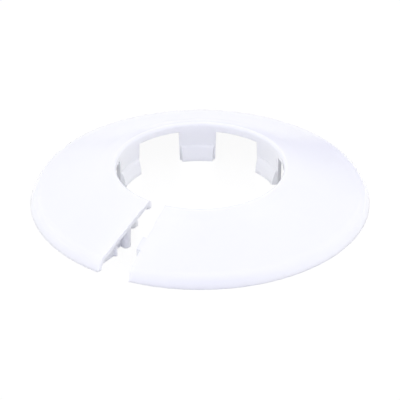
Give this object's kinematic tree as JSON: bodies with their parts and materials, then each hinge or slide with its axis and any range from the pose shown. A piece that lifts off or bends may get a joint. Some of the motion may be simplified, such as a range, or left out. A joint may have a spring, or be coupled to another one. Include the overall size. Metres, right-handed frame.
{
  "type": "radiator pipe collar",
  "caption": "Split conical cover ring of glossy white plastic that snaps round a heating pipe on inward gripping fingers and hides the hole where the pipe leaves a floor or wall.",
  "frame": {"origin": "on the pipe's axis, in the plane of the base rim that rests on the floor or wall", "axes": "+Z along the pipe, away from the floor or wall; the split between the two snap ends faces -Y; the tongue is on the +X side of the split"},
  "size_m": [0.0624, 0.0623, 0.0076],
  "materials": {
    "white_plastic": "smooth moulded gloss"
  },
  "bodies": {
    "root": {"pipe_collar": "white_plastic"}
  },
  "joints": []
}
